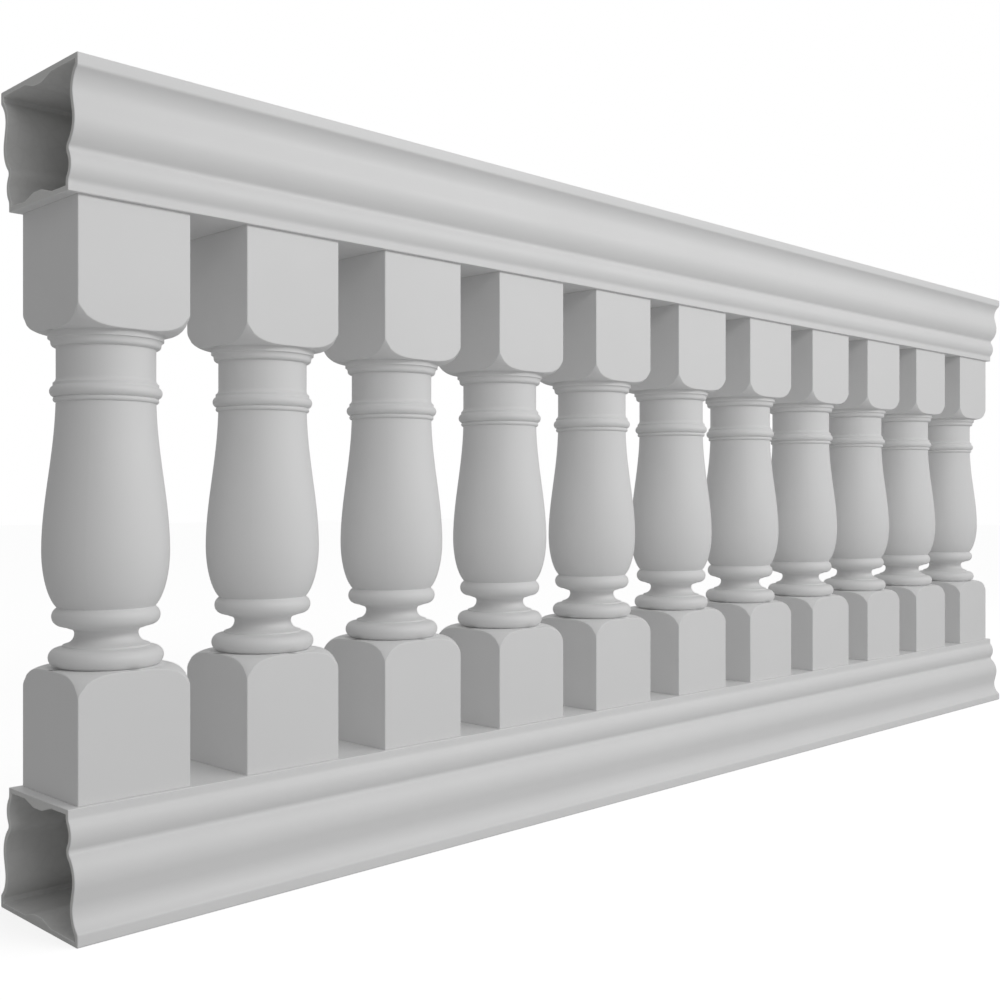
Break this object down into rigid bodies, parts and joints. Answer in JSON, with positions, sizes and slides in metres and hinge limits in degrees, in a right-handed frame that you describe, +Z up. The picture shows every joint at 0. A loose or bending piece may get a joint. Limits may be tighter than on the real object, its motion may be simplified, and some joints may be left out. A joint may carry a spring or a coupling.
{
  "type": "fiberglass balustrade",
  "caption": "Straight fiberglass balustrade section: hollow moulded top and bottom rails with a row of turned balusters on square blocks between them.",
  "frame": {"origin": "under the middle of the bottom rail, on the plane it rests on", "axes": "+X along the rails, +Y across them away from the front, +Z up"},
  "size_m": [2.1336, 0.177, 0.876],
  "materials": {
    "rail_gelcoat": "satin pale grey gelcoat over glass-fibre laminate",
    "baluster_gelcoat": "satin pale grey moulded gelcoat"
  },
  "bodies": {
    "root": {"bottom_rail": "rail_gelcoat", "top_rail": "rail_gelcoat", "baluster_01": "baluster_gelcoat", "baluster_02": "baluster_gelcoat", "baluster_03": "baluster_gelcoat", "baluster_04": "baluster_gelcoat", "baluster_05": "baluster_gelcoat", "baluster_06": "baluster_gelcoat", "baluster_07": "baluster_gelcoat", "baluster_08": "baluster_gelcoat", "baluster_09": "baluster_gelcoat", "baluster_10": "baluster_gelcoat", "baluster_11": "baluster_gelcoat"}
  },
  "joints": []
}
